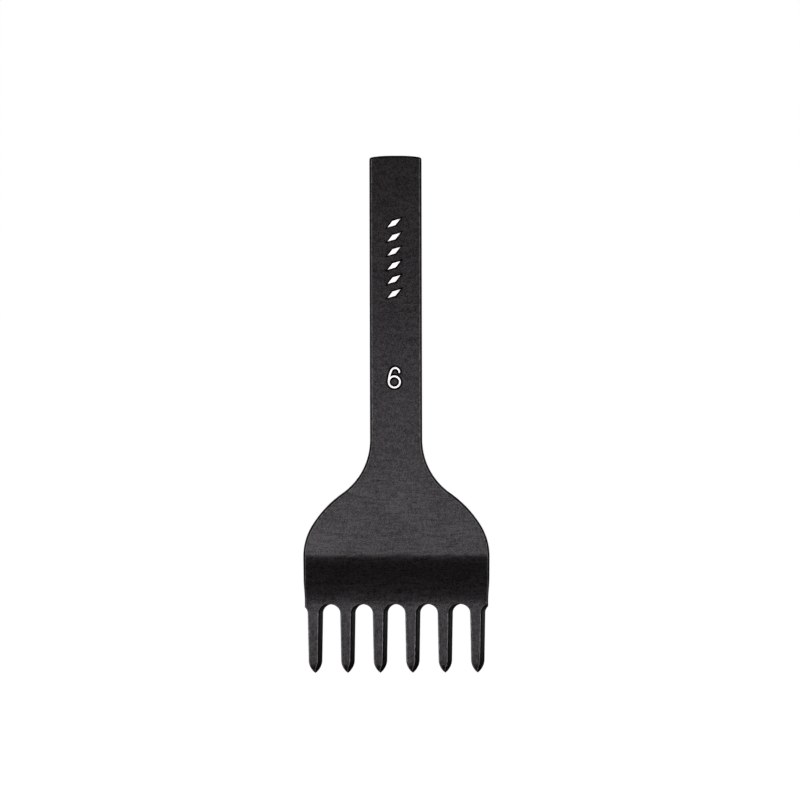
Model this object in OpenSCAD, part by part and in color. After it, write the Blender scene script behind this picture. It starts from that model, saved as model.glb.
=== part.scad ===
// Pricking iron for marking and piercing stitch holes in leather.
// One bar of black-oxide tool steel: a rectangular shank that is struck with a mallet,
// a flared head, a hollow-ground blade and a row of slanted prongs.
// The bar is cut into its named sections, which meet face to face.
// Origin: middle of the line of prong tips. +Z runs up to the striking end, the front faces -Y.

/* [Prongs] */
// Number of prongs
prong_count = 6; // [6:1:8]
// Distance from one prong tip to the next, the stitch length
pitch = 6; // [5:0.5:8]
// Width of a prong's front face at its root
prong_w = 1.94; // [1.4:0.02:2.4]
// Width of a prong's front face where its point begins
prong_w_low = 1.62; // [1.1:0.02:1.9]
// Thickness of the prongs, from front to back
prong_t = 1.5; // [1.2:0.1:2]
// Height of the plane where the prongs join the blade
root_z = 11; // [8:0.5:11]
// Length of the sharpened point
point_h = 2.4; // [1.2:0.1:3]
// Lean of the prong sides away from straight through the iron
slant = 28; // [15:1:35]

/* [Head] */
// Reach of the head beyond the middle of each outer prong
head_margin = 2.12; // [1.8:0.02:2.6]
// How far each side of the blade draws in at its lower edge
blade_taper = 0.22; // [0:0.02:0.4]
// Height where the hollow grind begins
grind_top_z = 20.8; // [20:0.1:23]
// Height over which the hollow grind thins the blade
grind_rise = 8.7; // [7.5:0.1:8.9]

/* [Shank] */
// Width of the shank
shank_w = 9.54; // [9:0.02:10.5]
// Thickness of the shank and of the head
shank_t = 6.5; // [6:0.1:7]
// Overall length, tips to striking face
length = 95.5; // [90:0.5:110]
// Chamfer along the long edges
edge_c = 0.35; // [0.2:0.05:0.6]
// Height of the rounded striking end
strike_h = 3; // [2:0.5:5]

/* [Marks] */
// Height of the middle of the pitch numeral
numeral_z = 54.5; // [54:0.5:58]
// Height of the middle of the stitch ornament
ornament_z = 76.5; // [70:0.5:77]
// Sideways place of both marks
mark_x = -0.3; // [-0.5:0.1:0.5]
// Depth of the marks' light fill
mark_d = 0.12; // [0.1:0.02:0.2]

/* [Hidden] */

STEEL = [0.17, 0.16, 0.17];
FILL = [0.9, 0.9, 0.87];
// Reach of a cutting or limiting solid past the body it works on
far = 60;
over = 0.5;
arc_steps = 12;

// Flare outline, right side, from the head up: a short straight side, a tight round corner,
// a wider full arc, and a hollow arc that runs into the shank
side_h = 0.8;
corner_r = 10.9;
corner_a = 32.5;
hollow_r = 12.2;
hollow_a = 55;
shank_half = shank_w / 2;
head_half = pitch * (prong_count - 1) / 2 + head_margin;
// The full arc takes up what the other two leave of the width
full_r = (head_half - shank_half - hollow_r * (1 - cos(hollow_a)) - corner_r * (1 - cos(corner_a)))
    / (cos(corner_a) - cos(hollow_a));
corner_c = [head_half - corner_r, grind_top_z + side_h];
full_c = corner_c - (full_r - corner_r) * [cos(corner_a), sin(corner_a)];
hollow_c = full_c + (hollow_r + full_r) * [cos(hollow_a), sin(hollow_a)];
shank_z = hollow_c[1];

// Hollow grind: an arc from the head's full thickness down to the blade, where it runs out flat
grind_d = (shank_t - prong_t) / 2;
grind_r = (grind_rise * grind_rise + grind_d * grind_d) / (2 * grind_d);
grind_low_z = grind_top_z - grind_rise;
grind_sweep = asin(grind_rise / grind_r);
taper_top_z = grind_low_z + grind_rise / 2;

// Slots: round-topped, as wide as what the prongs leave of the pitch
slot_r = (pitch - prong_w) * cos(slant) / 2;
// Small flat left on a prong's point, and steps in its curve
point_land = 0.04;
point_steps = 6;
// Below 1 makes the point's curve fuller near its tip
point_bulge = 0.8;
first_x = -pitch * (prong_count - 1) / 2;

// Striking end: drop and width of the rounding at each corner of its profile
crown_drop = 0.4;
crown_in = 0.75;
crown_mid = 2.2;
crown_mid_drop = 0.12;

// Pitch numeral: a round bowl, and a stem that rises from its left side and hooks over the top.
// Places are measured from the bowl's centre
bowl_r = 1.22;
stroke = 0.38;
hook_r = 0.95;
hook_c = [0.15, 1.8];
// Radius and centre of the stem's arc, upright where it leaves the bowl and smooth into the hook
stem_p = bowl_r + hook_c[0];
stem_r = (stem_p * stem_p + hook_c[1] * hook_c[1] - hook_r * hook_r) / (2 * (stem_p - hook_r));
stem_c = [stem_r - bowl_r, 0];
stem_end = atan2(hook_c[1], hook_c[0] - stem_c[0]);
// The bowl's centre lies this far below the numeral's middle
bowl_drop = (hook_c[1] + hook_r - bowl_r) / 2;

// Ornament: a column of slanted stitch-shaped lozenges
stitch_count = 6;
stitch_gap = 2.6;
stitch_l = 3;
stitch_h = 1;
stitch_a = 34;

function arc(c, r, from, to, steps) =
    [for (i = [0:steps]) let (a = from + (to - from) * i / steps) c + r * [cos(a), sin(a)]];

// The same list without its first point, for an outline that already has it
function after_first(points) = [for (i = [1:len(points) - 1]) points[i]];

function mirrored(points) =
    [for (i = [len(points) - 1:-1:0]) [-points[i][0], points[i][1]]];

// Right side of the flare, moved inwards by inset, from the shank down to the grind
function flare_side(inset) = concat(
    arc(hollow_c, hollow_r + inset, 180, 180 + hollow_a, arc_steps),
    after_first(arc(full_c, full_r - inset, hollow_a, corner_a, arc_steps)),
    after_first(arc(corner_c, corner_r - inset, corner_a, 0, arc_steps)),
    [[head_half - inset, grind_top_z]]
);

// One closed ring of the flare at depth y
function flare_ring(inset, y) =
    let (side = flare_side(inset))
    [for (p = concat(side, mirrored(side))) [p[0], y, p[1]]];

// Extrudes a front outline, drawn as [x, z], from front to back
module front_to_back(depth) {
    rotate([90, 0, 0]) linear_extrude(depth, center = true) children();
}

// Extrudes a side outline, drawn as [y, z], across the width
module side_to_side(breadth) {
    rotate([90, 0, 90]) linear_extrude(breadth, center = true) children();
}

// Bar section with chamfered long edges
module chamfered_section(w, t, c) {
    polygon([
        [w / 2, t / 2 - c], [w / 2 - c, t / 2], [c - w / 2, t / 2], [-w / 2, t / 2 - c],
        [-w / 2, c - t / 2], [c - w / 2, -t / 2], [w / 2 - c, -t / 2], [w / 2, c - t / 2]
    ]);
}

// Crowned profile of the striking end, half being half its width
module crown_profile(half) {
    right = [
        [half, 0], [half, strike_h - crown_drop],
        [half - crown_in, strike_h - crown_mid_drop], [half - crown_mid, strike_h]
    ];
    polygon(concat(right, mirrored(right)));
}

// Upper end of the bar, where the mallet strikes: a block crowned on all four sides
module striking_end() {
    color(STEEL) translate([0, 0, length - strike_h]) intersection() {
        linear_extrude(strike_h) chamfered_section(shank_w, shank_t, edge_c);
        front_to_back(far) crown_profile(shank_half);
        side_to_side(far) crown_profile(shank_t / 2);
    }
}

// The handle, with shallow pockets for the light fill of its marks
module shank() {
    color(STEEL) difference() {
        translate([0, 0, shank_z]) linear_extrude(length - strike_h - shank_z)
            chamfered_section(shank_w, shank_t, edge_c);
        mark_fill(over) numeral_shape();
        mark_fill(over) ornament_shape();
    }
}

// The bar spread out to the head's width, chamfered along its curved edges
module flared_head() {
    rings = [
        flare_ring(edge_c, -shank_t / 2), flare_ring(0, edge_c - shank_t / 2),
        flare_ring(0, shank_t / 2 - edge_c), flare_ring(edge_c, shank_t / 2)
    ];
    n = len(rings[0]);
    last = len(rings) - 1;
    walls = [for (k = [0:last - 1], i = [0:n - 1])
        [k * n + i, (k + 1) * n + i, (k + 1) * n + (i + 1) % n, k * n + (i + 1) % n]];
    // The flat faces are strips from each point on the right to its twin on the left
    front = [for (i = [0:n / 2 - 2]) [i, i + 1, n - 2 - i, n - 1 - i]];
    back = [for (s = front) [for (i = [3:-1:0]) last * n + s[i]]];
    color(STEEL) polyhedron(
        points = [for (ring = rings, p = ring) p],
        faces = concat(front, walls, back)
    );
}

// Side outline of the hollow-ground blade
module blade_section() {
    side = concat(
        [[prong_t / 2, root_z]],
        arc([prong_t / 2 + grind_r, grind_low_z], grind_r, 180, 180 - grind_sweep, arc_steps)
    );
    polygon(concat(side, mirrored(side)));
}

// Front outline of the blade, narrowing a little below the middle of the grind
module blade_outline() {
    right = [
        [head_half - blade_taper, root_z], [head_half - blade_taper, grind_low_z],
        [head_half, taper_top_z], [head_half, grind_top_z]
    ];
    polygon(concat(right, mirrored(right)));
}

// The head ground hollow on both faces down to the prongs' thickness
module ground_blade() {
    color(STEEL) difference() {
        intersection() {
            front_to_back(far) blade_outline();
            side_to_side(far) blade_section();
            linear_extrude(far) chamfered_section(2 * head_half, shank_t, edge_c);
        }
        for (i = [0:prong_count])
            translate([first_x + (i - 0.5) * pitch, 0, root_z])
                rotate([90, 0, -slant]) cylinder(h = far, r = slot_r, center = true, $fn = 48);
    }
}

// Half-width at height z of a curved point that is half wide where it begins
function point_half(half, z) = max(point_land, half * pow(sin(90 * z / point_h), point_bulge));

// A prong's outline: straight flanks above a curved point
module pointed_outline(half_top, half_low) {
    point = [for (i = [0:point_steps]) let (z = point_h * i / point_steps) [point_half(half_low, z), z]];
    side = concat(point, [[half_top, root_z]]);
    polygon(concat(side, mirrored(side)));
}

// Prong number i from the left, seen from the front: slanted flanks and a four-sided point
module prong(i) {
    color(STEEL) translate([first_x + (i - 1) * pitch, 0, 0]) intersection() {
        rotate([0, 0, -slant]) front_to_back(far)
            pointed_outline(prong_w * cos(slant) / 2, prong_w_low * cos(slant) / 2);
        side_to_side(far) pointed_outline(prong_t / 2, prong_t / 2);
    }
}

// Fill of a mark, flush with the front face, standing proud of it by extra
module mark_fill(extra) {
    translate([mark_x, mark_d - shank_t / 2, 0]) rotate([90, 0, 0])
        linear_extrude(mark_d + extra) children();
}

// The numeral 6, the standard pitch: one outline round the hook, stem and bowl, and the bowl's hole
module numeral_shape() {
    inner_r = stem_r - stroke;
    // Where the inside of the stem meets the outside of the bowl
    join_x = (stem_c[0] * stem_c[0] + bowl_r * bowl_r - inner_r * inner_r) / (2 * stem_c[0]);
    join_y = sqrt(bowl_r * bowl_r - join_x * join_x);
    bowl_end = 360 + atan2(join_y, join_x);
    inner_start = atan2(join_y, join_x - stem_c[0]);
    outline = concat(
        arc(hook_c, hook_r, 0, stem_end, arc_steps),
        after_first(arc(stem_c, stem_r, stem_end, 180, arc_steps)),
        after_first(arc([0, 0], bowl_r, 180, bowl_end, 2 * arc_steps)),
        after_first(arc(stem_c, inner_r, inner_start, stem_end, arc_steps)),
        after_first(arc(hook_c, hook_r - stroke, stem_end, 0, arc_steps)),
        after_first(arc(hook_c + [hook_r - stroke / 2, 0], stroke / 2, 180, 350, arc_steps))
    );
    translate([0, numeral_z - bowl_drop]) difference() {
        polygon(outline);
        circle(r = bowl_r - stroke, $fn = 48);
    }
}

// A column of lozenges, like the stitches that the iron marks out
module ornament_shape() {
    for (i = [0:stitch_count - 1])
        translate([0, ornament_z + (i - (stitch_count - 1) / 2) * stitch_gap]) rotate(stitch_a)
            polygon([[-stitch_l / 2, 0], [0, -stitch_h / 2], [stitch_l / 2, 0], [0, stitch_h / 2]]);
}

module size_numeral() {
    color(FILL) mark_fill(0) numeral_shape();
}

module stitch_ornament() {
    color(FILL) mark_fill(0) ornament_shape();
}

striking_end();
shank();
flared_head();
ground_blade();
for (i = [1:prong_count])
    prong(i);
size_numeral();
stitch_ornament();
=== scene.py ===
import math

import bmesh
import bpy
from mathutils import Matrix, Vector


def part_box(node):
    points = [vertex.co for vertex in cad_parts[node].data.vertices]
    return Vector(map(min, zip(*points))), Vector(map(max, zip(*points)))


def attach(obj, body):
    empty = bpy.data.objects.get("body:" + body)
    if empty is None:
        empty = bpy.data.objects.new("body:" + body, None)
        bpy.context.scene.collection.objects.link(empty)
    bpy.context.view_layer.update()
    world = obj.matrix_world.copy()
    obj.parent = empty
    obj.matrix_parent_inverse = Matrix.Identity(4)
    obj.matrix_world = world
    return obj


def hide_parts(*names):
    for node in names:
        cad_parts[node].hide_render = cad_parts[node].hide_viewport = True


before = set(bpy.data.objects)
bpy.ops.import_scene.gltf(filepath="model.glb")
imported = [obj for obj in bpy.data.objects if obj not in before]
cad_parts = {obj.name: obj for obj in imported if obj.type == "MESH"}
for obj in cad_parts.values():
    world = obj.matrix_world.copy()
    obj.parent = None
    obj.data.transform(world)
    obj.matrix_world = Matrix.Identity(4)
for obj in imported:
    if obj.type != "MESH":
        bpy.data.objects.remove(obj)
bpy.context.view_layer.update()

# ---------------------------------------------------------------- dimensions, in millimetres

MM = 0.001


def box_mm(node):
    """Lowest and highest corner of a CAD node."""
    low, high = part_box(node)
    return Vector(low) / MM, Vector(high) / MM


PRONGS = sorted(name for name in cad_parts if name.startswith("prong_"))
PRONG_BOXES = [box_mm(name) for name in PRONGS]
PRONG_X = [(low.x + high.x) / 2 for low, high in PRONG_BOXES]
PITCH = (PRONG_X[-1] - PRONG_X[0]) / (len(PRONGS) - 1)
SLANT = math.radians(28)
LEAN = math.tan(SLANT)
THIN = PRONG_BOXES[0][1].y
# Added to each side, so that rounding the edges does not thin the prongs or the bar
ROUND_ALLOWANCE = 0.13
SIDE_ALLOWANCE = 0.04
ROOT_HALF = (PRONG_BOXES[0][1].x - PRONG_BOXES[0][0].x) / 2 - THIN * LEAN + ROUND_ALLOWANCE
POINT_HALF = 0.81 + ROUND_ALLOWANCE
POINT_H = 2.4
POINT_BULGE = 0.85
POINT_FLAT = 2.4
POINT_LAND = 0.03

BLADE_LOW, BLADE_HIGH = box_mm("ground_blade")
ROOT_Z = BLADE_LOW.z
SEAM_Z = BLADE_HIGH.z
HEAD_HALF = BLADE_HIGH.x + SIDE_ALLOWANCE
SLOT_HALF = PITCH / 2 - ROOT_HALF
SLOT_R = SLOT_HALF * math.cos(SLANT)

SHANK_LOW, SHANK_HIGH = box_mm("shank")
SHANK_HALF = SHANK_HIGH.x + SIDE_ALLOWANCE
THICK = SHANK_HIGH.y
STRIKE_Z = SHANK_HIGH.z
TOP_Z = box_mm("striking_end")[1].z

# Hollow grind: its arc, and the fillet that eases it into the flat face above
GRIND_R = 16.4
GRIND_FILLET = 5.0
GRIND_DEPTH = THICK - THIN
GRIND_LOW_Z = SEAM_Z - math.sqrt(GRIND_R**2 - (GRIND_R - GRIND_DEPTH) ** 2)
GRIND_SPAN = GRIND_R + GRIND_FILLET
FILLET_HIGH_Z = GRIND_LOW_Z + math.sqrt(GRIND_SPAN**2 - (GRIND_SPAN - GRIND_DEPTH) ** 2)
FILLET_LOW_Z = GRIND_LOW_Z + (FILLET_HIGH_Z - GRIND_LOW_Z) * GRIND_R / GRIND_SPAN

# Flare outline: three arcs, as in the CAD model
CORNER_R, CORNER_A = 10.9, math.radians(32.5)
HOLLOW_R, HOLLOW_A = 12.2, math.radians(55)
FULL_R = (
    HEAD_HALF
    - SHANK_HALF
    - HOLLOW_R * (1 - math.cos(HOLLOW_A))
    - CORNER_R * (1 - math.cos(CORNER_A))
) / (math.cos(CORNER_A) - math.cos(HOLLOW_A))
HOLLOW_C = Vector((SHANK_HALF + HOLLOW_R, SHANK_LOW.z))
FULL_C = HOLLOW_C - (HOLLOW_R + FULL_R) * Vector((math.cos(HOLLOW_A), math.sin(HOLLOW_A)))
CORNER_C = FULL_C + (FULL_R - CORNER_R) * Vector((math.cos(CORNER_A), math.sin(CORNER_A)))
BLADE_TAPER = 0.22
TAPER_LOW_Z, TAPER_HIGH_Z = 13.2, 17.6

# Radius of the rounding along the edges of each part
EDGE_BODY = 0.42
EDGE_SLOT = 0.22
ROUND_STEPS = 4
# Strip of the flat face beside each rounded edge, over which the worn edge's painted highlight line
# fades in
RIM = 0.09
ROW_Z = ROOT_Z + SLOT_R + EDGE_SLOT + RIM

# How worn the finish is at each point from the face to the middle of a side: a painted highlight
# line of light bare steel where the face turns into the rounding
HALF_WEAR_HIGHLIGHT = [0.0, 1.0, 0.0, 0.0, 0.0, 0.0]
RIB_WEAR_HIGHLIGHT = HALF_WEAR_HIGHLIGHT + HALF_WEAR_HIGHLIGHT[::-1]
# Share of its polish that the finish loses, which also darkens it: outer sides; between prongs, as
# painted shade; rounded edges, as a painted dark outline; grooves, as painted shade
SIDE_DULL, SLOT_SHADE, EDGE_SHADE, GROOVE_SHADE = 0.45, 0.9, 0.96, 1.0
# Where the painted near-black shade of the grooves and rounded edges sets in
PAINTED_BLACK_FROM = 0.92

# Crown of the striking end: an arch across its width, and a pillow that falls towards its rim,
# whose corners grow rounder by a share of the distance in from the rim
CROWN_ARCH = 0.32
ARCH_POWER = 2.6
CROWN_DROP = 0.1
CROWN_REACH = 2.6
CROWN_POWER = 2.2
CROWN_CORNER = 0.6
CROWN_MIDDLE = 0.1
CROWN_STEPS = 8

# Marks: depth of the pocket, and the groove round the light fill as distance out and depth
MARK_DEPTH = 0.12
GROOVE = ((0.36, 0.0), (0.26, 0.05), (0.0, MARK_DEPTH))
# Rim of the light fill, as distance in from the pocket's edge and depth below the face
FILL_RIM = ((0.035, 0.05), (0.055, 0.02), (0.085, 0.01))
# Shortest side of a sharp corner's slope, as a share of its width, outside and inside a mark
MITRE_OUT, MITRE_IN = 0.5, 0.1


# Middle and width of the camera's view of the iron, and how far the camera is rolled
VIEW_X, VIEW_Z = 0.73, 50.4
VIEW_WIDTH = 147.9
VIEW_ROLL = math.radians(0.15)

# Backdrop, in metres: radius of the flat floor, radius of its bend and height of its wall
FLOOR_R = 1.2
BEND_R = 0.6
WALL_Z = 2.4


def smooth_step(value, low, high):
    share = min(1.0, max(0.0, (value - low) / (high - low)))
    return share * share * (3 - 2 * share)


def half_thickness(z):
    """Half the body's thickness at a height above the prongs."""
    if z <= GRIND_LOW_Z:
        return THIN
    if z <= FILLET_LOW_Z:
        return THIN + GRIND_R - math.sqrt(GRIND_R**2 - (z - GRIND_LOW_Z) ** 2)
    if z <= FILLET_HIGH_Z:
        return THICK - GRIND_FILLET + math.sqrt(GRIND_FILLET**2 - (FILLET_HIGH_Z - z) ** 2)
    return THICK


def edge_radius(z):
    """Rounding of the blade's side edges, which grow with the grind."""
    return EDGE_SLOT + (EDGE_BODY - EDGE_SLOT) * smooth_step(z, ROW_Z, FILLET_LOW_Z)


def side_x(z):
    """Half-width of the blade below the flare."""
    if z > CORNER_C.y:
        return CORNER_C.x + math.sqrt(CORNER_R**2 - (z - CORNER_C.y) ** 2)
    return HEAD_HALF - BLADE_TAPER * (1 - smooth_step(z, TAPER_LOW_Z, TAPER_HIGH_Z))


# ---------------------------------------------------------------- ribs and rings


def rounding(radius, rim):
    """Pairs of inset and depth from the rim of the face round a quarter circle to the side."""
    angles = [math.pi / 2 * k / ROUND_STEPS for k in range(ROUND_STEPS + 1)]
    turns = [(radius * (1 - math.sin(a)), radius * (1 - math.cos(a))) for a in angles]
    return [(radius + rim, 0.0)] + turns


def rib(point, half_t, radius, rim=RIM):
    """Points from the front face round one side to the back face.

    point(inset, y) gives x and z of the outline, moved inwards by inset, at depth y;
    half_t(z) is half the thickness at that height.
    """
    made = []
    turns = rounding(radius, rim)
    for side, half_turns in ((-1, turns), (1, turns[::-1])):
        for inset, depth in half_turns:
            z = point(inset, side * (THIN - depth))[1]
            y = side * (half_t(z) - depth)
            x, z = point(inset, y)
            made.append(Vector((x, y, z)))
    return made


def turned(points, centre=0.0):
    """The same points half a turn round the vertical line at x = centre."""
    return [Vector((2 * centre - p.x, -p.y, p.z)) for p in points]


def arc_rib(centre, radius, angle, sense):
    """Rib on a flare arc; sense is 1 where the arc bulges out and -1 where it is hollow."""

    def point(inset, _y):
        reach = radius - sense * inset
        return centre.x + reach * math.cos(angle), centre.y + reach * math.sin(angle)

    return rib(point, half_thickness, EDGE_BODY)


def side_rib(z):
    return rib(lambda inset, _y: (side_x(z) - inset, z), half_thickness, edge_radius(z))


def shank_rib(z):
    return rib(lambda inset, _y: (SHANK_HALF - inset, z), half_thickness, EDGE_BODY)


def steps(low, high, count):
    """count values after low, evenly spaced, the last one being high."""
    return [low + (high - low) * (k + 1) / count for k in range(count)]


def blade_ribs():
    """Ribs of the hollow grind, from the slots' tops to the seam with the flare."""
    heights = [ROW_Z] + steps(ROW_Z, FILLET_LOW_Z, 28) + steps(FILLET_LOW_Z, SEAM_Z, 6)
    return [side_rib(z) for z in heights]


def flare_ribs():
    """Ribs of the flared head, from its seam with the blade up to the shank."""
    ribs = [side_rib(SEAM_Z)] + [side_rib(z) for z in steps(SEAM_Z, FILLET_HIGH_Z, 8)]
    first = math.asin((FILLET_HIGH_Z - CORNER_C.y) / CORNER_R)
    ribs += [arc_rib(CORNER_C, CORNER_R, a, 1) for a in steps(first, CORNER_A, 14)]
    ribs += [arc_rib(FULL_C, FULL_R, a, 1) for a in steps(CORNER_A, HOLLOW_A, 16)]
    ribs += [arc_rib(HOLLOW_C, HOLLOW_R, a, -1) for a in steps(math.pi + HOLLOW_A, math.pi, 26)]
    return ribs


# Share of the width at which each row of front points stands: one above each slot
ROW_HALF = side_x(ROW_Z) - EDGE_SLOT - RIM
SHARES = [
    (x + PITCH / 2 - LEAN * half_thickness(ROW_Z) + ROW_HALF) / (2 * ROW_HALF) for x in PRONG_X[:-1]
]


def body_ring(right_rib):
    """Closed ring of the whole bar: front row, right side, back row, left side."""
    right, left = right_rib[0], turned(right_rib)[-1]
    front = [left.lerp(right, share) for share in SHARES]
    return front + right_rib + turned(front) + turned(right_rib)


def prong_half(z):
    """Half-width of a prong's front face, and its share of the full thickness."""
    if z >= POINT_H:
        return POINT_HALF + (ROOT_HALF - POINT_HALF) * (z - POINT_H) / (ROOT_Z - POINT_H), 1.0
    share = math.sin(math.pi / 2 * z / POINT_H) ** POINT_BULGE
    half = max(POINT_LAND, POINT_HALF * share)
    return half, max(POINT_LAND / THIN, 1 - (1 - share) ** POINT_FLAT)


def flank_rib(z):
    """Right flank of a prong, measured from its own middle."""
    half, share = prong_half(z)
    radius = min(EDGE_SLOT, 0.45 * min(half, THIN * share))
    rim = min(RIM, 0.4 * half)
    return rib(lambda inset, y: (half - inset + LEAN * y, z), lambda _z: THIN * share, radius, rim)


def slot_rib(turn):
    """Right side of a stub, along the slot's round top; turn runs from 0 to 1."""
    angle = math.pi / 2 * turn

    def point(inset, y):
        x = PITCH / 2 + LEAN * y - (SLOT_HALF + inset) * math.cos(angle)
        return x, ROOT_Z + (SLOT_R + inset) * math.sin(angle)

    return rib(point, half_thickness, EDGE_SLOT)


def notch_rib(turn):
    """Outer side of an end stub: the slot's curve as far as the blade's side, then straight up."""
    corner = 0.8
    side = side_x(ROW_Z) - PRONG_X[-1]

    def point(inset, y):
        reach = SLOT_HALF + inset
        hit = math.acos((PITCH / 2 + LEAN * y - side + inset) / reach)
        angle = hit * min(1.0, turn / corner)
        x = PITCH / 2 + LEAN * y - reach * math.cos(angle)
        z = ROOT_Z + (SLOT_R + inset) * math.sin(angle)
        if turn > corner:
            z += (ROW_Z - z) * (turn - corner) / (1 - corner)
        return x, z

    return rib(point, half_thickness, EDGE_SLOT)


STUB_STEPS = 20
PRONG_HEIGHTS = [POINT_H * (k / 14) ** 1.3 for k in range(15)] + steps(POINT_H, ROOT_Z, 10)


def prong_rings(centre):
    rings = []
    for z in PRONG_HEIGHTS:
        side = flank_rib(z)
        rings.append([p + Vector((centre, 0, 0)) for p in side + turned(side)])
    return rings


def stub_rings(index):
    """Rings from a prong's root up to the row line, where neighbouring stubs meet."""
    rings = []
    for k in range(STUB_STEPS + 1):
        turn = k / STUB_STEPS
        right = notch_rib(turn) if index == len(PRONGS) - 1 else slot_rib(turn)
        left = notch_rib(turn) if index == 0 else slot_rib(turn)
        rings.append([p + Vector((PRONG_X[index], 0, 0)) for p in right + turned(left)])
    return rings


def crown_rings():
    """Rings of the striking end: straight, then rounded over and domed like a pillow."""
    straight = [shank_rib(STRIKE_Z), shank_rib(TOP_Z - CROWN_ARCH - CROWN_DROP - 2 * EDGE_BODY)]
    rings = [body_ring(side) for side in straight]
    rim_slope = math.atan(CROWN_POWER * CROWN_DROP / CROWN_REACH)
    full_turn = math.pi / 2 - rim_slope
    rim_inset = EDGE_BODY * (1 - math.cos(full_turn))
    for k in range(1, 2 * CROWN_STEPS + 1):
        share = k / CROWN_STEPS
        if share <= 1:
            turn = full_turn * share
            inset = EDGE_BODY * (1 - math.cos(turn))
            z = TOP_Z - CROWN_DROP - EDGE_BODY * (math.sin(full_turn) - math.sin(turn))
        else:
            inset = rim_inset + CROWN_REACH * (share - 1)
            z = TOP_Z - CROWN_DROP * (2 - share) ** CROWN_POWER
        radius = min(EDGE_BODY + CROWN_CORNER * inset, THICK - inset - CROWN_MIDDLE)

        def point(step, _y, inset=inset, z=z):
            return SHANK_HALF - inset - step, z

        def thickness(_z, inset=inset):
            return THICK - inset

        rings.append(body_ring(rib(point, thickness, radius)))
    for p in (p for ring in rings[2:] for p in ring):
        p.z -= CROWN_ARCH * abs(p.x / SHANK_HALF) ** ARCH_POWER
    return rings


# ---------------------------------------------------------------- faces

faces = {name: [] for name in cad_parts}
wear_highlight, finish_shade = {}, {}


def mark_places(table, points, amounts):
    """Notes how worn or how unpolished the finish is at each point: worn edges carry a painted
    highlight, unpolished places painted shade.
    """
    for p, amount in zip(points, amounts):
        table[key(p)] = max(table.get(key(p), 0.0), amount)


def loft(node, rings, skip=(), dull_shade=SIDE_DULL):
    """Quads between rings of equal length; skip lists the places round the ring left open."""
    count = len(rings[0])
    row = [0.0] * ((count - 2 * len(RIB_WEAR_HIGHLIGHT)) // 2)
    # Painted shade on the rounded edges; the middle of each side gets the given dullness, which is
    # painted shade on the walls between the prongs
    half_dull_shade = [0.0, 0.0, EDGE_SHADE, EDGE_SHADE, EDGE_SHADE, dull_shade]
    rib_dull_shade = half_dull_shade + half_dull_shade[::-1]
    for ring in rings:
        mark_places(wear_highlight, ring, (row + RIB_WEAR_HIGHLIGHT) * 2)
        mark_places(finish_shade, ring, (row + rib_dull_shade) * 2)
    for low, high in zip(rings, rings[1:]):
        for k in range(count):
            if k not in skip:
                n = (k + 1) % count
                faces[node].append(([low[k], low[n], high[n], high[k]], True))


def cap(node, ring, facing_up):
    """Closes a piece with a flat face where it meets its neighbour."""
    faces[node].append((list(ring) if facing_up else list(ring)[::-1], False))


def normal_of(points):
    """Area times the unit normal of a face."""
    total = Vector((0, 0, 0))
    for a, b in zip(points, points[1:] + points[:1]):
        total += a.cross(b)
    return total / 2


def key(p):
    return round(p.x, 4), round(p.y, 4), round(p.z, 4)


def mark_loops(node):
    """Outlines of a mark's front face as lists of (x, z), read from its CAD node."""
    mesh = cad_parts[node].data
    front = min(v.co.y for v in mesh.vertices) + 1e-6
    bm = bmesh.new()
    bm.from_mesh(mesh)
    bmesh.ops.remove_doubles(bm, verts=bm.verts, dist=2e-6)
    shown = [f for f in bm.faces if all(v.co.y < front for v in f.verts)]
    border = {}
    for face in shown:
        for loop in face.loops:
            if not any(other in shown for other in loop.edge.link_faces if other is not face):
                border[loop.vert] = loop.link_loop_next.vert
    loops = []
    while border:
        start = next(iter(border))
        walk = [start]
        step = border.pop(start)
        while step is not start:
            walk.append(step)
            step = border.pop(step)
        loops.append([(v.co.x / MM, v.co.z / MM) for v in walk])
    bm.free()
    return loops


def loop_area(loop):
    return sum(a[0] * b[1] - b[0] * a[1] for a, b in zip(loop, loop[1:] + loop[:1])) / 2


def distance(point, loop):
    """Distance from a point to the nearest side of a loop."""
    best = math.inf
    for k in range(len(loop)):
        start, end = Vector(loop[k - 1]), Vector(loop[k])
        along = end - start
        share = (Vector(point) - start).dot(along) / along.length_squared
        foot = start + along * min(1.0, max(0.0, share))
        best = min(best, (Vector(point) - foot).length)
    return best


def grown(loop, by):
    """The loop moved outwards from the mark by a distance, without crossing itself."""
    made = []
    for k, here in enumerate(loop):
        before, after = loop[k - 1], loop[(k + 1) % len(loop)]
        first = Vector((here[0] - before[0], here[1] - before[1])).normalized()
        second = Vector((after[0] - here[0], after[1] - here[1])).normalized()
        out = Vector((first.y + second.y, -first.x - second.x)).normalized()
        reach = by / max(MITRE_OUT if by > 0 else MITRE_IN, out.dot(Vector((first.y, -first.x))))
        made.append((here[0] + out.x * reach, here[1] + out.y * reach))
    clear = [k for k, p in enumerate(made) if distance(p, loop) > 0.97 * abs(by) - 1e-5]
    count = len(made)

    def nearest(k):
        return min(clear, key=lambda other: min((other - k) % count, (k - other) % count))

    return [made[nearest(k)] for k in range(count)]


def filled(loops, y, facing_front=True):
    """Triangles that fill flat loops of (x, z) at depth y, holes left open."""
    bm = bmesh.new()
    edges = []
    for loop in loops:
        kept = [p for k, p in enumerate(loop) if p != loop[k - 1]]
        corners = [bm.verts.new((x, y, z)) for x, z in kept]
        edges += [bm.edges.new((a, b)) for a, b in zip(corners, corners[1:] + corners[:1])]
    bmesh.ops.triangle_fill(bm, use_beauty=True, use_dissolve=False, edges=edges)
    made = []
    for face in bm.faces:
        points = [v.co.copy() for v in face.verts]
        if (normal_of(points).y > 0) == facing_front:
            points.reverse()
        made.append(points)
    bm.free()
    return made


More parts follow.
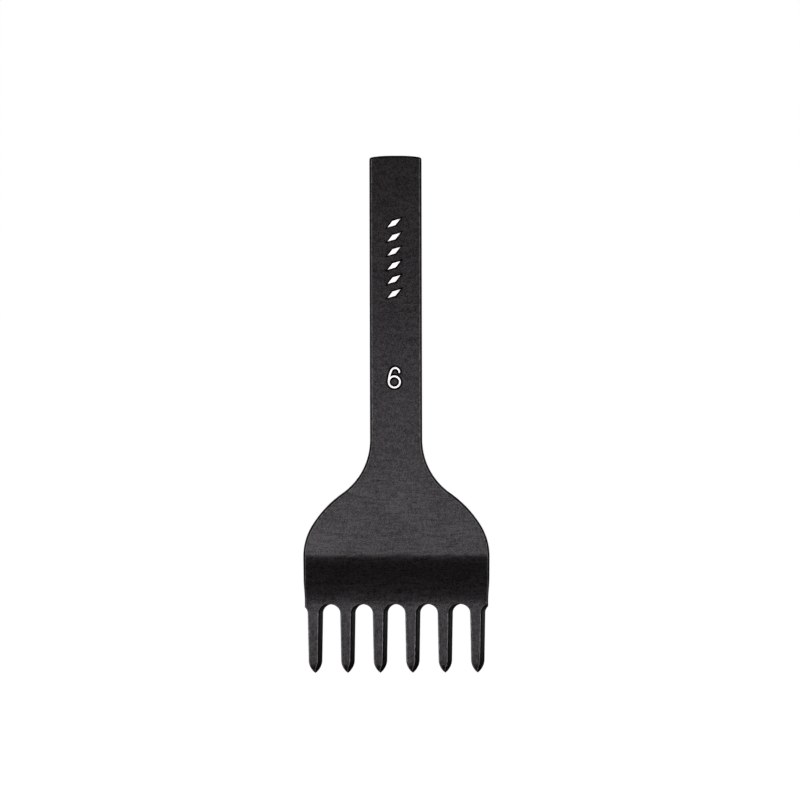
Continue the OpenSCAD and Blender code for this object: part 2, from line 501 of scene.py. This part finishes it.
def slope(node, first, first_y, second, second_y, smooth):
    """Band of quads between two matching loops of (x, z) at their depths."""
    for k in range(len(first)):
        n = (k + 1) % len(first)
        quad = [(first[k], first_y), (first[n], first_y)]
        quad += [(second[n], second_y), (second[k], second_y)]
        faces[node].append(([Vector((x, y, z)) for (x, z), y in quad], smooth))


def grouped(loops):
    """Loops filled together: an outline with its hole, or each outline alone."""
    if any(loop_area(loop) < 0 for loop in loops):
        return [loops]
    return [[loop] for loop in loops]


MARKS = {name: mark_loops(name) for name in ("size_numeral", "stitch_ornament")}


def add_shank():
    """The handle: its sides, and a front face with a pocket under each mark."""
    ribs = [shank_rib(z) for z in [SHANK_LOW.z] + steps(SHANK_LOW.z, STRIKE_Z, 12)]
    rings = [body_ring(side) for side in ribs]
    count, row = len(rings[0]), len(SHARES)
    front_places = set(range(row)) | {count - 1}
    loft("shank", rings, skip=front_places)
    cap("shank", rings[0], facing_up=False)
    cap("shank", rings[-1], facing_up=True)
    right = [(ring[row].x, ring[row].z) for ring in rings]
    left = [(ring[-1].x, ring[-1].z) for ring in rings]
    bottom = [(p.x, p.z) for p in rings[0][:row]]
    top = [(p.x, p.z) for p in rings[-1][:row]]
    border = bottom + right + top[::-1] + left[::-1]
    outer, inner = [], []
    for loops in MARKS.values():
        for loop in loops:
            (outer if loop_area(loop) > 0 else inner).append(loop)
    face_y, floor_y = -THICK, MARK_DEPTH - THICK
    flat = filled([border] + [grown(loop, GROOVE[0][0]) for loop in outer], face_y)
    for loop in inner:
        flat += filled([grown(loop, GROOVE[0][0])], face_y)
    faces["shank"] += [(points, True) for points in flat]
    for loop in outer + inner:
        for (out, depth), (next_out, next_depth) in zip(GROOVE, GROOVE[1:]):
            low = grown(loop, out), depth - THICK
            high = grown(loop, next_out), next_depth - THICK
            slope("shank", *low, *high, False)
            deep = [Vector((x, high[1], z)) for x, z in high[0]]
            # Painted shade: the groove's bottom is painted near-black
            mark_places(finish_shade, deep, [GROOVE_SHADE] * len(deep))
    for loops in MARKS.values():
        for group in grouped(loops):
            faces["shank"] += [(points, False) for points in filled(group, floor_y)]


def add_body():
    """All steel sections, ring by ring from the tips to the striking end."""
    for index, name in enumerate(PRONGS):
        rings = prong_rings(PRONG_X[index])
        loft(name, rings, dull_shade=SLOT_SHADE)
        cap(name, rings[0], facing_up=False)
        cap(name, rings[-1], facing_up=True)
        stubs = stub_rings(index)
        loft("ground_blade", stubs, dull_shade=SLOT_SHADE)
        cap("ground_blade", stubs[0], facing_up=False)
    blade = [body_ring(side) for side in blade_ribs()]
    loft("ground_blade", blade)
    cap("ground_blade", blade[-1], facing_up=True)
    flare = [body_ring(side) for side in flare_ribs()]
    loft("flared_head", flare)
    cap("flared_head", flare[0], facing_up=False)
    cap("flared_head", flare[-1], facing_up=True)
    add_shank()
    crown = crown_rings()
    loft("striking_end", crown)
    rim, top = crown[3:CROWN_STEPS + 2], crown[CROWN_STEPS + 2:]
    # Painted near-black shade on the crown's rounded rim; the domed top is dulled like the sides
    for rings, amount in ((rim, GROOVE_SHADE), (top, SIDE_DULL)):
        for p in (p for ring in rings for p in ring):
            wear_highlight[key(p)], finish_shade[key(p)] = 0.0, amount
    cap("striking_end", crown[0], facing_up=False)
    faces["striking_end"].append((list(crown[-1]), True))


def add_marks():
    """Light fills, a hair below the face, with softened rims."""
    floor_y = MARK_DEPTH - THICK
    for name, loops in MARKS.items():
        for loop in loops:
            bands = [(grown(loop, -inset), depth - THICK) for inset, depth in FILL_RIM]
            slope(name, bands[0][0], floor_y, *bands[0], False)
            for low, high in zip(bands, bands[1:]):
                slope(name, *low, *high, True)
        for group in grouped(loops):
            front = [grown(loop, -FILL_RIM[-1][0]) for loop in group]
            front_faces = filled(front, FILL_RIM[-1][1] - THICK)
            faces[name] += [(points, True) for points in front_faces]
            back = [grown(loop, -FILL_RIM[0][0]) for loop in group]
            back_faces = filled(back, floor_y, facing_front=False)
            faces[name] += [(points, False) for points in back_faces]


# ---------------------------------------------------------------- meshes


def joined_normals():
    """Area-weighted normals of the joined body, so that no joint between sections shows."""
    sums = {}
    for node_faces in faces.values():
        for points, smooth in node_faces:
            if smooth:
                normal = normal_of(points)
                for p in points:
                    sums[key(p)] = sums.get(key(p), Vector((0, 0, 0))) + normal
    return {k: n.normalized() for k, n in sums.items()}


def build(name, normals):
    """Mesh object of one section, standing for its CAD node."""
    places, index, polygons, loop_normals = [], {}, [], []
    for points, smooth in faces[name]:
        corners = []
        for p in points:
            if key(p) not in index:
                index[key(p)] = len(places)
                places.append(p)
            corners.append(index[key(p)])
        kept = [c for n, c in enumerate(corners) if c != corners[n - 1]]
        if len(set(kept)) < 3:
            continue
        flat = normal_of(points).normalized()
        polygons.append(kept)
        loop_normals += [normals[key(places[c])] if smooth else flat for c in kept]
    mesh = bpy.data.meshes.new(name + "_mesh")
    mesh.from_pydata([p * MM for p in places], [], polygons)
    mesh.polygons.foreach_set("use_smooth", [True] * len(mesh.polygons))
    mesh.normals_split_custom_set(loop_normals)
    # Per-point tables: worn edges with a painted highlight line, and dull finish with painted shade
    for title, table in (("edge_wear_highlight", wear_highlight), ("unpolished_and_shade", finish_shade)):
        layer = mesh.attributes.new(title, "FLOAT", "POINT")
        layer.data.foreach_set("value", [table.get(key(p), 0.0) for p in places])
    piece = bpy.data.objects.new("iron_" + name, mesh)
    bpy.context.scene.collection.objects.link(piece)
    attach(piece, "root")
    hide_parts(name)
    return piece


# ---------------------------------------------------------------- materials


class Nodes:
    """Short calls for building a material's node tree."""

    def __init__(self, name):
        self.material = bpy.data.materials.new(name)
        self.material.use_nodes = True
        self.tree = self.material.node_tree
        self.tree.nodes.clear()
        self.output = self.add("ShaderNodeOutputMaterial")
        self.shader = self.add("ShaderNodeBsdfPrincipled")
        self.link(self.shader.outputs["BSDF"], self.output.inputs["Surface"])

    def add(self, kind, **settings):
        node = self.tree.nodes.new(kind)
        for field, value in settings.items():
            setattr(node, field, value)
        return node

    def link(self, source, target):
        self.tree.links.new(source, target)

    def place(self, scale):
        """Object coordinates in metres, stretched by scale along each axis."""
        coordinates = self.add("ShaderNodeTexCoord")
        mapping = self.add("ShaderNodeMapping")
        mapping.inputs["Scale"].default_value = scale
        self.link(coordinates.outputs["Object"], mapping.inputs["Vector"])
        return mapping.outputs["Vector"]

    def patch(self, middle, reach):
        """1 at a place given in millimetres, fading to 0 at its reach along each axis."""
        coordinates = self.add("ShaderNodeTexCoord")
        mapping = self.add("ShaderNodeMapping", vector_type="TEXTURE")
        mapping.inputs["Location"].default_value = Vector(middle) * MM
        mapping.inputs["Scale"].default_value = Vector(reach) * MM
        self.link(coordinates.outputs["Object"], mapping.inputs["Vector"])
        sphere = self.add("ShaderNodeTexGradient", gradient_type="QUADRATIC_SPHERE")
        self.link(mapping.outputs["Vector"], sphere.inputs["Vector"])
        return sphere.outputs["Fac"]

    def noise(self, scale, detail=3.0, roughness=0.55, distortion=0.0):
        node = self.add("ShaderNodeTexNoise")
        node.inputs["Scale"].default_value = 1.0
        node.inputs["Detail"].default_value = detail
        node.inputs["Roughness"].default_value = roughness
        node.inputs["Distortion"].default_value = distortion
        self.link(self.place(scale), node.inputs["Vector"])
        return node.outputs["Fac"]

    def span(self, value, low, high, to_low=0.0, to_high=1.0):
        """value carried from one range to another, clamped."""
        node = self.add("ShaderNodeMapRange")
        limits = {"From Min": low, "From Max": high, "To Min": to_low, "To Max": to_high}
        for socket, number in limits.items():
            node.inputs[socket].default_value = number
        self.link(value, node.inputs["Value"])
        return node.outputs["Result"]

    def maths(self, operation, first, second):
        node = self.add("ShaderNodeMath", operation=operation)
        for socket, value in zip(node.inputs, (first, second)):
            if isinstance(value, (int, float)):
                socket.default_value = value
            else:
                self.link(value, socket)
        return node.outputs["Value"]

    def mix(self, share, first, second):
        node = self.add("ShaderNodeMix", data_type="RGBA")
        sockets = node.inputs[0], node.inputs[6], node.inputs[7]
        for socket, value in zip(sockets, (share, first, second)):
            if isinstance(value, (int, float)):
                socket.default_value = value
            elif isinstance(value, tuple):
                socket.default_value = (*value, 1.0)
            else:
                self.link(value, socket)
        return node.outputs[2]

    def relief(self, height, strength, depth):
        """Fine relief of the surface, its depth in millimetres."""
        bump = self.add("ShaderNodeBump")
        bump.inputs["Strength"].default_value = strength
        bump.inputs["Distance"].default_value = depth * MM
        self.link(height, bump.inputs["Height"])
        self.link(bump.outputs["Normal"], self.shader.inputs["Normal"])


# Colours of the steel: the oxide at its darkest and lightest, and light bare steel, painted along
# the edges as wear and as a highlight line
OXIDE_DARK = (0.012, 0.011, 0.0117)
OXIDE_LIGHT = (0.036, 0.033, 0.035)
BARE_STEEL_HIGHLIGHT = (0.6, 0.57, 0.585)


def black_steel(name, streak_scale, streak_share, wear_highlight_share, scuffs=()):
    """Black-oxide steel: satin faces with the marks of the grinding belt, dull dark sides, painted
    shade that turns the grooves and rounded edges near-black and darkens the walls between the
    prongs, and a painted highlight line of light bare steel along the edges.

    Each scuff is a lighter patch: its middle and its reach along each axis, in millimetres.
    """
    m = Nodes(name)
    haze = m.noise((130, 130, 100), detail=4)
    mottle = m.noise((1500, 1500, 1500), detail=3, roughness=0.6)
    grain = m.noise((5600, 5600, 5600), detail=2)
    streaks = m.noise(streak_scale, detail=4, roughness=0.65, distortion=0.3)
    worn_highlight = m.add("ShaderNodeAttribute", attribute_name="edge_wear_highlight").outputs["Fac"]
    dull_shade = m.add("ShaderNodeAttribute", attribute_name="unpolished_and_shade").outputs["Fac"]

    tone = m.maths("ADD", m.span(haze, 0.3, 0.7, -0.1, 0.1), m.span(mottle, 0.3, 0.7, -0.27, 0.27))
    tone = m.maths("ADD", tone, m.span(grain, 0.34, 0.66, -0.6, 0.6))
    tone = m.maths("ADD", tone, m.span(streaks, 0.32, 0.68, -streak_share, streak_share))
    for middle, reach in scuffs:
        patch = m.maths("MULTIPLY", m.patch(middle, reach), m.span(streaks, 0.35, 0.6, 0.08, 0.36))
        tone = m.maths("ADD", tone, patch)
    share = m.maths("ADD", tone, 0.5)

    # Painted highlight: a line of light bare steel just inside each rounded edge, standing also for
    # worn oxide
    worn_highlight = m.maths("MULTIPLY", worn_highlight, m.span(mottle, 0.35, 0.62, 0.4 * wear_highlight_share, wear_highlight_share))
    oxide = m.mix(share, OXIDE_DARK, OXIDE_LIGHT)
    # Painted shade: grooves, the crown's rim and the rounded edges turn near-black
    oxide = m.mix(m.span(dull_shade, PAINTED_BLACK_FROM, 1.0, 0.0, 0.9), oxide, (0.0, 0.0, 0.0))
    m.link(m.mix(worn_highlight, oxide, BARE_STEEL_HIGHLIGHT), m.shader.inputs["Base Color"])
    m.link(m.maths("MULTIPLY", worn_highlight, 0.3), m.shader.inputs["Metallic"])
    level = m.span(share, 0.0, 1.0, 0.16, 0.84)
    # Dull places reflect less: dullness on the outer sides, painted shade between the prongs, on
    # the rounded edges and in the grooves
    level = m.maths("MULTIPLY", level, m.span(dull_shade, 0.0, 1.0, 1.0, 0.0))
    m.link(level, m.shader.inputs["Specular IOR Level"])
    m.shader.inputs["Specular Tint"].default_value = (1.0, 0.92, 0.985, 1.0)
    rough = m.span(mottle, 0.3, 0.7, 0.29, 0.35)
    rough = m.maths("ADD", rough, m.span(streaks, 0.3, 0.7, -0.03, 0.03))
    rough = m.maths("ADD", rough, m.span(dull_shade, 0.0, 1.0, 0.0, 0.12))
    m.link(rough, m.shader.inputs["Roughness"])

    height = m.maths("ADD", m.maths("MULTIPLY", streaks, 0.6), m.maths("MULTIPLY", grain, 0.4))
    height = m.maths("ADD", height, m.maths("MULTIPLY", mottle, 0.4))
    m.relief(height, 0.7, 0.014)
    return m.material


def light_fill():
    """Chalky white fill of the engraved marks, with painted light: it glows by emission so that it
    reads bright under the low lamps.
    """
    m = Nodes("light_fill")
    grain = m.noise((6000, 6000, 6000), detail=2)
    blotch = m.noise((1400, 1400, 1400), detail=3)
    share = m.maths("ADD", m.span(grain, 0.3, 0.7, 0.0, 0.5), m.span(blotch, 0.3, 0.7, 0.0, 0.5))
    tone = m.mix(share, (0.74, 0.73, 0.72), (0.96, 0.95, 0.94))
    m.link(tone, m.shader.inputs["Base Color"])
    m.link(tone, m.shader.inputs["Emission Color"])
    # Painted light: the fill glows with its own colour, though it is no lamp
    m.shader.inputs["Emission Strength"].default_value = 0.8
    m.shader.inputs["Roughness"].default_value = 0.75
    m.relief(grain, 0.4, 0.01)
    return m.material


def floor_material():
    """White paper lit evenly from below, so that the iron throws no shadow on it."""
    m = Nodes("pale_floor")
    m.shader.inputs["Base Color"].default_value = (0.02, 0.02, 0.02, 1.0)
    m.shader.inputs["Roughness"].default_value = 1.0
    m.shader.inputs["Specular IOR Level"].default_value = 0.0
    m.shader.inputs["Emission Color"].default_value = (1.0, 1.0, 1.0, 1.0)
    m.shader.inputs["Emission Strength"].default_value = 1.0
    return m.material


# ---------------------------------------------------------------- studio


def softbox(name, place, target, width, height, radiance):
    """Rectangular lamp, in millimetres, that glows evenly and is not seen itself."""
    data = bpy.data.lights.new(name, "AREA")
    data.shape = "RECTANGLE"
    data.size, data.size_y = width * MM, height * MM
    data.energy = radiance * math.pi * data.size * data.size_y
    light = bpy.data.objects.new(name, data)
    bpy.context.scene.collection.objects.link(light)
    light.location = Vector(place) * MM
    direction = Vector(target) - Vector(place)
    light.rotation_euler = direction.to_track_quat("-Z", "Y").to_euler()
    light.visible_camera = False


def add_camera():
    """A long lens straight in front of the iron, a little above its middle."""
    data = bpy.data.cameras.new("camera")
    data.lens = 200.0
    data.sensor_width = 36.0
    data.clip_start, data.clip_end = 0.01, 20.0
    camera = bpy.data.objects.new("camera", data)
    bpy.context.scene.collection.objects.link(camera)
    reach = VIEW_WIDTH * data.lens / data.sensor_width
    camera.location = Vector((VIEW_X, -reach, VIEW_Z)) * MM
    camera.rotation_euler = (math.pi / 2, VIEW_ROLL, 0)
    bpy.context.scene.camera = camera


def add_floor(material):
    """A pale floor that curves up on every side into a bowl-shaped backdrop."""
    around = 64
    rings = [(radius, 0.0) for radius in steps(0, FLOOR_R, 5)]
    for turn in steps(0, math.pi / 2, 12):
        rings.append((FLOOR_R + BEND_R * math.sin(turn), BEND_R * (1 - math.cos(turn))))
    rings.append((FLOOR_R + BEND_R, WALL_Z))
    places = [(0.0, 0.0, 0.0)]
    for radius, z in rings:
        for j in range(around):
            turn = 2 * math.pi * j / around
            places.append((radius * math.cos(turn), radius * math.sin(turn), z))
    polygons = [(0, 1 + j, 1 + (j + 1) % around) for j in range(around)]
    for k in range(len(rings) - 1):
        for j in range(around):
            n = (j + 1) % around
            low, high = 1 + k * around, 1 + (k + 1) * around
            polygons.append((low + j, high + j, high + n, low + n))
    mesh = bpy.data.meshes.new("floor_mesh")
    mesh.from_pydata(places, [], polygons)
    mesh.polygons.foreach_set("use_smooth", [True] * len(mesh.polygons))
    floor = bpy.data.objects.new("floor", mesh)
    bpy.context.scene.collection.objects.link(floor)
    floor.data.materials.append(material)
    floor.visible_glossy = False
    floor.visible_diffuse = False


def add_world():
    """Dim grey surroundings: what the steel reflects where no lamp is."""
    world = bpy.data.worlds.new("studio")
    bpy.context.scene.world = world
    world.use_nodes = True
    background = world.node_tree.nodes["Background"]
    background.inputs["Color"].default_value = (1.0, 1.0, 1.0, 1.0)
    background.inputs["Strength"].default_value = 0.01


def add_lights():
    """Low softboxes all round, mirrored by the upright faces, one overhead, and glowing panels
    on the floor that the faces mirror when seen from above."""
    softbox("front_box", (-20, -286, 14.6), (0, 0, 14.6), 260, 25.8, 6.1)
    softbox("left_strip", (-165, -240, 50), (0, 0, 50), 36, 110, 2.5)
    softbox("right_strip", (165, -240, 50), (0, 0, 50), 36, 110, 2.5)
    softbox("left_box", (-300, 0, 35), (0, 0, 35), 130, 60, 4)
    softbox("right_box", (300, 20, 35), (0, 0, 35), 110, 60, 3)
    softbox("back_box", (0, 286, 30), (0, 0, 30), 120, 44, 3.5)
    softbox("top_box", (0, 0, 700), (0, 0, 0), 300, 300, 5)
    for place in ((-340, -340, 260), (340, -340, 260), (-340, 340, 260), (340, 340, 260)):
        softbox("corner_box", place, (0, 0, 60), 300, 200, 1)
    softbox("back_panel", (0, 235, 1), (0, 235, 100), 640, 410, 1)
    softbox("left_panel", (-190, -105, 1), (-190, -105, 100), 270, 270, 1)
    softbox("right_panel", (190, -105, 1), (190, -105, 100), 270, 270, 1)


# ---------------------------------------------------------------- the scene

add_body()
add_marks()
body_normals = joined_normals()
SCUFFS = [
    ((-12.5, -THICK, 24), (9, 4, 5)),
    ((12.5, -THICK, 26), (5, 3, 3)),
    ((1, -THICK, 31), (7, 3, 4)),
]
FINISHES = {
    "shank": black_steel("steel_shank", (260, 260, 1400), 0.14, 0.36),
    "head": black_steel("steel_head", (330, 400, 2800), 0.28, 0.36, SCUFFS),
    "prong": black_steel("steel_prong", (2600, 2600, 160), 0.24, 0.95),
}
fill = light_fill()
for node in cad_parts:
    piece = build(node, body_normals)
    if node in MARKS:
        finish = fill
    elif node in PRONGS:
        finish = FINISHES["prong"]
    elif node in ("flared_head", "ground_blade"):
        finish = FINISHES["head"]
    else:
        finish = FINISHES["shank"]
    piece.data.materials.append(finish)

add_floor(floor_material())
add_world()
add_lights()
add_camera()
bpy.context.scene.view_settings.view_transform = "Standard"
